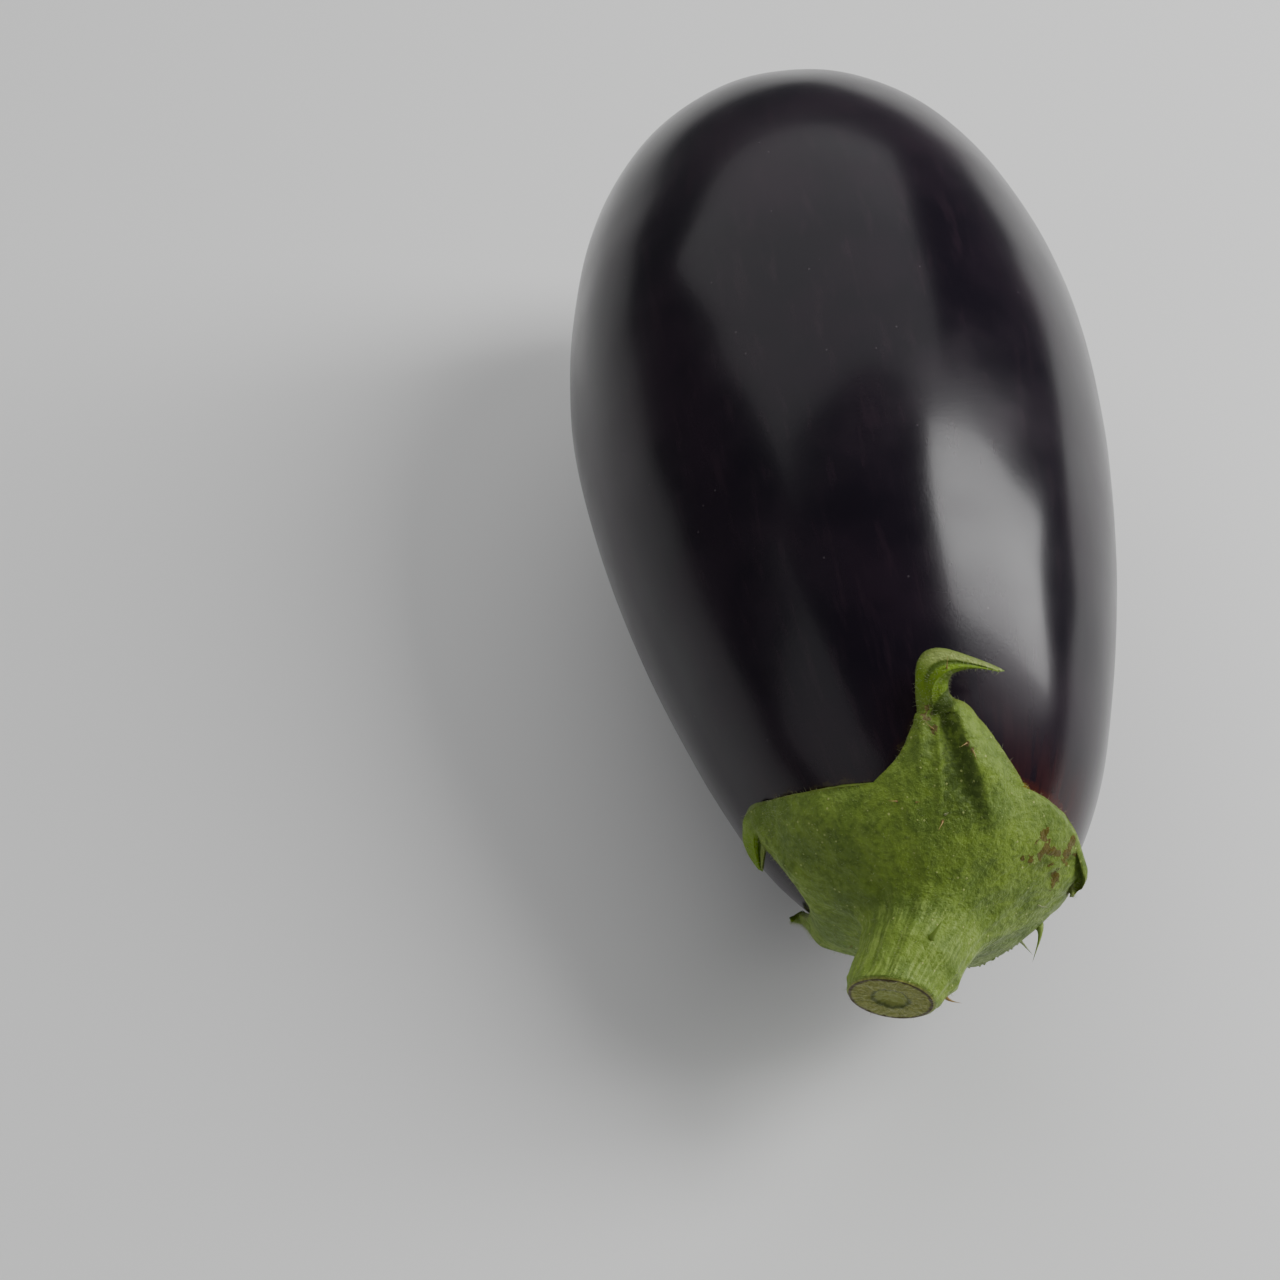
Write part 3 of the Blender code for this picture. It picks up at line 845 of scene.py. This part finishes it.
# Past the flare in mm, bearing in degrees, length and radius in mm, lean as a direction, and tone, where
# -1 is green, 0 is pale and 1 is brown
PRICKLES = (
    (-19.7, 21, 2.2, 0.62, (0.7, 0.9, 0.4), -1.0),
    (-23.6, 102, 2.0, 0.34, (0.7, 0.2, 0.2), 1.0),
    (-26.5, -150, 1.4, 0.26, (0.2, -0.8, -0.6), 0.5),
    (-26.0, -172, 1.0, 0.20, (0.6, -0.8, -0.6), 0.5),
    (-5.5, -127, 1.3, 0.12, (-0.3, 0.5, 0.0), 0.6),
    (3.2, 3, 0.9, 0.17, (-1.3, -1.2, -0.6), 1.0),
    (4.3, 4, 0.8, 0.24, (0.6, 0.6, 0.3), 0.3),
    (6.9, -16, 0.8, 0.13, (-1.6, 0.4, 0.0), 1.0),
    (6.4, -8, 0.6, 0.13, (1.2, 0.2, 0.0), 1.0),
    (14.3, 11, 1.0, 0.14, (0.1, -1.6, -0.6), 0.8),
    (15.5, 9, 0.8, 0.13, (-1.4, -0.8, 0.0), 0.8),
    (18.1, 0, 1.0, 0.13, (-1.3, 1.4, 0.4), 0.9),
    (0.4, 88, 1.2, 0.20, (0.9, 0.2, 0.0), 0.2),
    (4.2, 114, 2.3, 0.85, (-1.4, -1.3, -1.0), -0.8),
    (3.0, 125, 1.1, 0.34, (1.0, -1.2, -0.8), -0.2),
    (30.5, -4, 1.3, 0.14, (0.2, 0.9, 0.9), 0.9),
)
PRICKLE_SIDES, PRICKLE_RINGS = 7, 6
HAIR_SIDES, HAIR_RINGS = 3, 2
HAIR_COUNT = 3600
HAIR_SEED = 7
HAIR_LENGTHS = (0.3, 0.75)
HAIR_RADIUS = 0.028
HAIR_LEAN = 0.5
HAIR_TONE = 0.1
ROOT_DEPTH = 0.1 * MM


def add_spike(sheet, root, out, lean, length, radius, tone, sides, rings):
    """A thin closed spike that bends over as it rises."""
    first = unit(np.cross(out, lean + np.array([0.013, 0.007, 0.011])))
    second = np.cross(out, first)
    turns = np.linspace(0, 2 * math.pi, sides, endpoint=False)
    rows = []
    for share in np.arange(rings) / rings:
        centre = root + (out * share + lean * share**2) * length - out * ROOT_DEPTH
        spokes = np.cos(turns)[:, None] * first + np.sin(turns)[:, None] * second
        rows.append(sheet.add(centre + spokes * radius * (1 - share) ** 0.9, tone=tone))
    for low, high in zip(rows, rows[1:]):
        sheet.ring_band(low, high)
    sheet.fan(rows[-1] + rows[-1][:1], sheet.add([root + (out + lean) * length], tone=tone)[0])
    sheet.faces.append(rows[0][::-1])


def make_hairs(calyx):
    """The prickles, and fine hairs that stand thickest on the sepals' edges and tips."""
    mesh = calyx.data
    points, normals = vertex_points(mesh), vertex_normals(mesh)
    past, bearing = vertex_mark(mesh, "past"), vertex_mark(mesh, "bearing")
    side, tip = vertex_mark(mesh, "side"), vertex_mark(mesh, "tip")
    hidden = (vertex_mark(mesh, "inner") > 0.5) | (vertex_mark(mesh, "cut") > 0.5)
    sheet = Sheet("tone")
    for prickle_past, prickle_bearing, length, radius, lean, tone in PRICKLES:
        turn = turn_from(bearing, prickle_bearing)
        number = np.argmin(np.hypot(past - prickle_past * MM, turn * CROWN_DEPTH / 2) + hidden)
        root, out = points[number], normals[number]
        size = (length * MM, radius * MM)
        add_spike(sheet, root, out, np.array(lean), *size, tone, PRICKLE_SIDES, PRICKLE_RINGS)
    draw = np.random.default_rng(HAIR_SEED)
    likely = np.where(hidden, 0.0, 0.25 + 3.0 * smooth(np.abs(side), 0.9, 1.0) + 1.2 * (tip > 0.3))
    for number in draw.choice(len(points), HAIR_COUNT, replace=False, p=likely / likely.sum()):
        root, out = points[number], normals[number]
        lean = draw.normal(size=3) * HAIR_LEAN
        lean -= (lean @ out) * out
        size = (draw.uniform(*HAIR_LENGTHS) * MM, HAIR_RADIUS * MM)
        add_spike(sheet, root, out, lean, *size, HAIR_TONE, HAIR_SIDES, HAIR_RINGS)
    return placed_piece("eggplant_hairs", sheet.mesh("eggplant_hairs"), "calyx", hair_material())


# ---------------- the berry


def berry_sheet(calyx):
    """The berry's round surface, with all marks."""
    sheet = Sheet("blossom", "turn", "along", "from_cap", "blush")
    turns = np.linspace(0, 2 * math.pi, BODY_SIDES, endpoint=False)
    rings = []
    for angle in np.linspace(0, math.pi, BODY_RINGS + 1)[1:-1]:
        points = body_point(np.full(BODY_SIDES, math.cos(angle)), turns)
        rings.append(sheet.add(points, turn=turns, along=math.cos(angle)))
    for first, second in zip(rings, rings[1:]):
        sheet.ring_band(second, first)
    for ring, cosine in ((rings[0], 1.0), (rings[-1][::-1], -1.0)):
        centre = body_point(np.array([cosine]), np.array([0.0]))
        sheet.fan(ring + ring[:1], sheet.add(centre, along=cosine)[0])
    points = np.array(sheet.points)
    blossom_end = body_point(np.array(1.0), np.array(0.0))
    towards = points - CROWN_CENTRE
    bearing = np.degrees(np.arctan2(towards @ CROWN_ASIDE, towards @ CROWN_UP))
    sheet.marks["blossom"] = np.linalg.norm(points - blossom_end, axis=1)
    sheet.marks["from_cap"] = distance_from_cap(points, calyx)
    sheet.marks["blush"] = 0.10 + 0.90 * bell(bearing, BLUSH_BEARING, BLUSH_WIDTH)
    return sheet


def make_berry(calyx):
    """The berry with its faint unevenness, its blossom scar and its resting flat."""
    sheet = berry_sheet(calyx)
    mesh = sheet.mesh("eggplant_skin")
    points = np.array(sheet.points)
    blossom = sheet.mark("blossom")
    relief = SKIN_SWELL * noise_at(points, 26 * MM, 2, 1.0)
    relief -= BLOSSOM_DIP * bell(blossom, 0, 6 * MM)
    relief += BLOSSOM_RIM * bell(blossom, 2.0 * MM, 1.0 * MM) * (1 + noise_at(points, 1.2 * MM, 2, 2.0))
    relief *= smooth(sheet.mark("from_cap"), 0, 6 * MM)
    points = points + vertex_normals(mesh) * relief[:, None]
    points[:, 2] = (points[:, 2] + np.hypot(points[:, 2], FLAT_SOFTNESS)) / 2
    set_points(mesh, points)
    return placed_piece("eggplant_skin", mesh, "skin", skin_material(), "fruit")


def distance_from_cap(points, calyx):
    """How far each point is from the nearest inner point of the cap, up to its reach."""
    inner = vertex_mark(calyx.data, "inner")
    curled = vertex_mark(calyx.data, "curled")
    cap_points = vertex_points(calyx.data)[(inner > 0.5) & (curled < 0.05)]
    tree = kdtree.KDTree(len(cap_points))
    for number, point in enumerate(cap_points):
        tree.insert(point, number)
    tree.balance()
    near_cap = points[:, 1] < cap_points[:, 1].max() + CAP_REACH
    distances = np.full(len(points), CAP_REACH)
    for number in np.flatnonzero(near_cap):
        distances[number] = min(tree.find(points[number])[2], CAP_REACH)
    return distances


def in_scene(name, data):
    """A new object in the scene."""
    made = bpy.data.objects.new(name, data)
    bpy.context.scene.collection.objects.link(made)
    return made


def placed_piece(name, mesh, slot, material, *nodes):
    """A piece in the scene that rides on the root body and stands for its CAD nodes."""
    piece = in_scene(name, mesh)
    mesh.materials.append(material)
    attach(piece, "root")
    if nodes:
        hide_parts(*nodes)
    return piece


# ---------------- materials

CLOUD_ROUGHNESS = 0.55


class Shader:
    """Short ways to add nodes to one material."""

    def __init__(self, name):
        self.material = bpy.data.materials.new(name)
        self.material.use_nodes = True
        self.tree = self.material.node_tree
        self.surface = self.tree.nodes["Principled BSDF"]
        self.place = self.node("ShaderNodeTexCoord").outputs["Object"]

    def node(self, kind, settings=(), **inputs):
        """A new node. An input is called by its name, or by n and its number."""
        made = self.tree.nodes.new(kind)
        for name, value in dict(settings).items():
            setattr(made, name, value)
        for name, value in inputs.items():
            self.feed(made.inputs[int(name[1:]) if name[0] == "n" and name[1:].isdigit() else name], value)
        return made

    def feed(self, socket, value):
        if isinstance(value, bpy.types.NodeSocket):
            self.tree.links.new(value, socket)
        else:
            socket.default_value = value

    def set_surface(self, **values):
        """Feeds the surface's inputs, whose names are written with underscores here."""
        for name, value in values.items():
            self.feed(self.surface.inputs[name.replace("_", " ")], value)

    def mark(self, name):
        return self.node("ShaderNodeAttribute", {"attribute_name": name}).outputs["Fac"]

    def math(self, operation, first, second=0.0):
        return self.node("ShaderNodeMath", {"operation": operation}, n0=first, n1=second).outputs[0]

    def times(self, first, second):
        return self.math("MULTIPLY", first, second)

    def plus(self, first, second):
        return self.math("ADD", first, second)

    def between(self, value, low, high, start=0.0, end=1.0):
        """Start below low, end above high, and a soft step between."""
        settings = {"interpolation_type": "SMOOTHSTEP"}
        made = self.node("ShaderNodeMapRange", settings, n0=value, n1=low, n2=high, n3=start, n4=end)
        return made.outputs[0]

    def clouds(self, size, detail=3.0, where=None):
        """Soft noise around 0.5, where size is the width of a cloud."""
        made = self.node("ShaderNodeTexNoise", Vector=where or self.place, Scale=1 / size, Detail=detail)
        made.inputs["Roughness"].default_value = CLOUD_ROUGHNESS
        return made.outputs["Fac"]

    def dots(self, size):
        """Distance from the nearest of many scattered points, as a share of their spacing."""
        made = self.node("ShaderNodeTexVoronoi", Vector=self.place, Scale=1 / size)
        return made.outputs["Distance"]

    def flow(self, across, along):
        """A place that runs quickly across the fibres and slowly along them."""
        turn = self.mark(across)
        sine = self.math("SINE", turn)
        cosine = self.math("COSINE", turn)
        return self.node("ShaderNodeCombineXYZ", X=sine, Y=cosine, Z=along).outputs[0]

    def mix(self, factor, first, second):
        made = self.node("ShaderNodeMix", {"data_type": "RGBA"}, n0=factor)
        self.feed(made.inputs[6], first)
        self.feed(made.inputs[7], second)
        return made.outputs[2]

    def bump(self, height, distance, strength, under=None):
        """Fine relief from a height, laid over the relief under it."""
        made = self.node("ShaderNodeBump", Height=height, Distance=distance, Strength=strength)
        if under is not None:
            self.tree.links.new(under, made.inputs["Normal"])
        return made.outputs[0]


def cut_colour(look):
    """The cut end: a brown rim, pale flesh with fibres, and a green ring round the pith."""
    wobble = look.times(look.clouds(1.5 * MM), 0.10)
    radial = look.plus(look.mark("radial"), look.math("SUBTRACT", wobble, 0.05))
    flesh = look.mix(look.between(look.clouds(0.5 * MM), 0.35, 0.7), CUT_FLESH, CUT_FIBRE)
    ring = look.times(look.between(radial, 0.34, 0.42), look.between(radial, 0.44, 0.52, 1, 0))
    colour = look.mix(look.between(radial, 0.36, 0.42, 1, 0), flesh, PITH)
    colour = look.mix(look.times(ring, 0.8), colour, PITH_RING)
    return look.mix(look.between(radial, 0.90, 0.97), colour, CUT_RIM)


def calyx_green(look, fine, grain, speck):
    """The cap's greens: blotches, pale fibres that show most on the stalk, a dark hollow that is partly
    painted shade, and pale specks.
    """
    past = look.mark("past")
    stalk = look.between(past, -18 * MM, -6 * MM, 1, 0)
    streak = look.clouds(0.055, 4.0, look.flow("bearing", look.times(past, 14.0)))
    streaked = look.times(look.between(streak, 0.46, 0.66), look.between(stalk, 0, 1, 0.15, 0.75))
    mottle = look.times(look.between(grain, 0.44, 0.66, 0, 0.45), look.between(stalk, 0, 1, 1, 0.35))
    hollow = look.times(look.mark("hollow"), look.between(grain, 0.35, 0.58, 0.35, 0.85))
    colour = look.mix(look.between(look.clouds(7 * MM), 0.35, 0.65), GREEN_MID, GREEN_LIGHT)
    colour = look.mix(streaked, colour, GREEN_PALE)
    colour = look.mix(mottle, colour, GREEN_DEEP_AND_PAINTED_SHADE)
    colour = look.mix(look.between(fine, 0.52, 0.72, 0, 0.35), colour, GREEN_PALE)
    # Painted shade: the hollow is darkened, partly to its own deeper green and partly as shade
    colour = look.mix(hollow, colour, GREEN_HOLLOW_AND_PAINTED_SHADE)
    return look.mix(look.times(speck, 0.75), colour, DOT_PALE)


def with_scars(look, colour, grain, scar):
    """The colour with painted shade in its pits, and its corky scars and brown flecks."""
    # Painted shade: the sunken pits are painted a darker green
    colour = look.mix(look.times(look.mark("pit"), 0.75), colour, PIT_SHADE_GREEN)
    colour = look.mix(scar, colour, look.mix(grain, SCAR_DARK, SCAR_LIGHT))
    uneven = look.between(look.clouds(0.7 * MM), 0.3, 0.7, -0.6, 0.2)
    flecked = look.plus(look.mark("fleck"), uneven)
    return look.mix(look.between(flecked, 0.42, 0.55), colour, FLECK_BROWN)


def with_tips(look, colour):
    """The colour with the curled tips: a brighter lime that is partly painted light, pale on the left, and
    painted shade in the crease and at the lap.
    """
    curled = look.mark("curled")
    side = look.mark("side")
    # Painted light: the curled tips are brightened, partly to their own lime and partly as light
    colour = look.mix(look.between(curled, 0.10, 0.4, 0, 0.8), colour, HOOK_LIME_AND_PAINTED_LIGHT)
    left = look.between(side, -0.58, -0.46, 0.85, 0)
    colour = look.mix(look.times(look.between(curled, 0.42, 0.62), left), colour, HOOK_PALE)
    # Painted shade on the blade's end under the hooked tip
    colour = look.mix(look.times(look.mark("lap"), 0.85), colour, GREEN_HOLLOW_AND_PAINTED_SHADE)
    # Painted shade: a dark band along the crease of each curled tip
    crease = look.between(look.math("ABSOLUTE", look.plus(side, 0.40)), 0.04, 0.20, 0.75, 0)
    return look.mix(look.times(look.between(curled, 0.3, 0.5), crease), colour, GREEN_DEEP_AND_PAINTED_SHADE)


def calyx_material():
    """The cap and stalk, with their underside, their thin edges and the cut end."""
    look = Shader("calyx")
    fine = look.clouds(0.5 * MM, 4.0)
    grain = look.clouds(1.1 * MM, 4.0)
    large = look.between(look.dots(1.8 * MM), 0.08, 0.13, 1, 0)
    small = look.between(look.dots(0.9 * MM), 0.08, 0.14, 1, 0)
    speck = look.math("MAXIMUM", large, look.times(small, 0.45))
    uneven = look.between(look.clouds(1.7 * MM, 4.0), 0.35, 0.65, -0.70, 0.30)
    scar = look.between(look.plus(look.mark("scar"), uneven), 0.45, 0.53)
    rim = look.between(look.math("ABSOLUTE", look.mark("side")), 0.93, 1.0)
    cut = look.between(look.mark("cut"), 0.2, 0.8)

    colour = calyx_green(look, fine, grain, speck)
    colour = with_scars(look, colour, grain, scar)
    colour = with_tips(look, colour)
    colour = look.mix(look.times(rim, 0.5), colour, GREEN_RIM)
    colour = look.mix(look.times(look.mark("inner"), 0.7), colour, GREEN_UNDER)
    look.set_surface(Base_Color=look.mix(cut, colour, cut_colour(look)))

    relief = look.bump(fine, 0.20 * MM, 0.9)
    relief = look.bump(grain, 0.50 * MM, 0.8, relief)
    relief = look.bump(speck, 0.15 * MM, 0.6, relief)
    look.set_surface(Normal=look.bump(scar, 0.20 * MM, 0.8, relief))
    moist = look.times(cut, look.between(look.clouds(0.8 * MM), 0.50, 0.62))
    rough = look.between(grain, 0.3, 0.7, 0.42, 0.60)
    look.set_surface(Roughness=look.math("SUBTRACT", rough, look.times(moist, 0.25)))
    look.set_surface(Sheen_Weight=0.06, Sheen_Roughness=0.5, Sheen_Tint=SHEEN_GREEN)
    look.set_surface(Specular_IOR_Level=0.25)
    return look.material


def with_border(look, colour, fine, streak):
    """The colour with the red blush and the ragged pale border that runs round the cap."""
    from_cap = look.mark("from_cap")
    blush = look.mark("blush")
    near_cap = look.between(from_cap, 1 * MM, 12 * MM, 0.8, 0)
    streaked = look.times(near_cap, look.between(streak, 0.3, 0.6))
    colour = look.mix(look.times(streaked, blush), colour, SKIN_RED)
    wide = look.between(look.clouds(5 * MM, 2.0), 0.3, 0.7, 0.3 * MM, -0.7 * MM)
    narrow = look.between(fine, 0.3, 0.7, 0.2 * MM, -0.2 * MM)
    ragged = look.plus(look.plus(from_cap, wide), narrow)
    red = look.between(ragged, 0.5 * MM, 1.6 * MM, 0.55, 0)
    colour = look.mix(look.times(red, blush), colour, BORDER_RED)
    pale = look.between(ragged, 0.1 * MM, 0.5 * MM, 1, 0)
    return look.mix(look.times(pale, blush), colour, BORDER_PALE)


def skin_material():
    """The berry's dark glossy skin, with its border round the cap and its blossom scar."""
    look = Shader("skin")
    streak = look.clouds(0.05, 3.0, look.flow("turn", look.times(look.mark("along"), 0.45)))
    blotch = look.clouds(22 * MM)
    fine = look.clouds(0.45 * MM)
    colour = look.mix(look.between(blotch, 0.35, 0.7), SKIN_BLACK, SKIN_PURPLE)
    colour = look.mix(look.between(streak, 0.52, 0.75, 0, 0.5), colour, SKIN_STREAK)
    colour = with_border(look, colour, fine, streak)
    colour = look.mix(look.between(look.dots(5 * MM), 0.025, 0.045, 0.5, 0), colour, SKIN_DOT)
    uneven = look.between(look.clouds(2 * MM), 0.3, 0.7, 0.7 * MM, -0.7 * MM)
    scar = look.between(look.plus(look.mark("blossom"), uneven), 1.5 * MM, 3.4 * MM, 1, 0)
    look.set_surface(Base_Color=look.mix(scar, colour, BLOSSOM_SCAR))

    look.set_surface(Roughness=look.between(blotch, 0.3, 0.7, 0.19, 0.27))
    look.set_surface(Normal=look.bump(fine, 0.02 * MM, 0.5))
    look.set_surface(Specular_IOR_Level=0.28, Coat_Weight=0.08, Coat_Roughness=0.10)
    return look.material


def hair_material():
    """The hairs and prickles, in the tone that each one is marked with."""
    look = Shader("hairs")
    tone = look.mark("tone")
    colour = look.mix(look.between(tone, -1.0, 0.0), GREEN_LIGHT, HAIR_PALE)
    colour = look.mix(look.between(tone, 0.0, 1.0), colour, HAIR_BROWN)
    colour = look.mix(look.between(look.clouds(1.0 * MM), 0.3, 0.7, 0, 0.3), colour, GREEN_LIGHT)
    look.set_surface(Base_Color=colour, Roughness=0.6)
    return look.material


# ---------------- stage, light and camera


def add_floor():
    """A plain pale floor."""
    mesh = bpy.data.meshes.new("floor")
    half = FLOOR_SIZE / 2
    corners = [(-half, -half, 0), (half, -half, 0), (half, half, 0), (-half, half, 0)]
    mesh.from_pydata(corners, [], [(0, 1, 2, 3)])
    floor = in_scene("floor", mesh)
    look = Shader("floor")
    look.set_surface(Base_Color=FLOOR_PALE, Roughness=0.7)
    mesh.materials.append(look.material)


def add_softbox(name, direction, distance, size, power):
    """A rectangular light in a direction from the point that all lights aim at."""
    light = bpy.data.lights.new(name, "AREA")
    light.shape = "RECTANGLE"
    light.size, light.size_y = size
    light.energy = power
    lamp = in_scene(name, light)
    lamp.location = LIGHT_AIM + Vector(direction).normalized() * distance
    lamp.rotation_euler = (LIGHT_AIM - lamp.location).to_track_quat("-Z", "Y").to_euler()


def add_lights():
    """A narrow key light on the right, a broad soft one overhead, a weak fill and a faint sky."""
    add_softbox("key_softbox", (0.77, 0.00, 0.64), 0.9, (0.30, 0.80), 9)
    add_softbox("back_softbox", (-0.08, 0.62, 0.78), 1.4, (2.2, 1.5), 11)
    add_softbox("fill_softbox", (-0.85, -0.45, 0.55), 1.3, (0.9, 0.9), 1.6)
    world = bpy.data.worlds.new("studio")
    bpy.context.scene.world = world
    world.use_nodes = True
    background = world.node_tree.nodes["Background"]
    background.inputs["Color"].default_value = SKY_PALE
    background.inputs["Strength"].default_value = SKY_STRENGTH


def add_camera():
    """The camera that the object is seen from in the reference view."""
    camera = bpy.data.cameras.new("camera")
    camera.lens = CAMERA_LENS
    camera.sensor_width = CAMERA_SENSOR
    camera.clip_start = 0.01
    holder = in_scene("camera", camera)
    holder.location = CAMERA_PLACE
    looking = CAMERA_HEADING.normalized() * math.cos(CAMERA_PITCH) + Vector((0, 0, -math.sin(CAMERA_PITCH)))
    holder.rotation_euler = looking.to_track_quat("-Z", "Y").to_euler()
    bpy.context.scene.camera = holder


calyx_piece = make_calyx()
make_hairs(calyx_piece)
make_berry(calyx_piece)
add_floor()
add_lights()
add_camera()
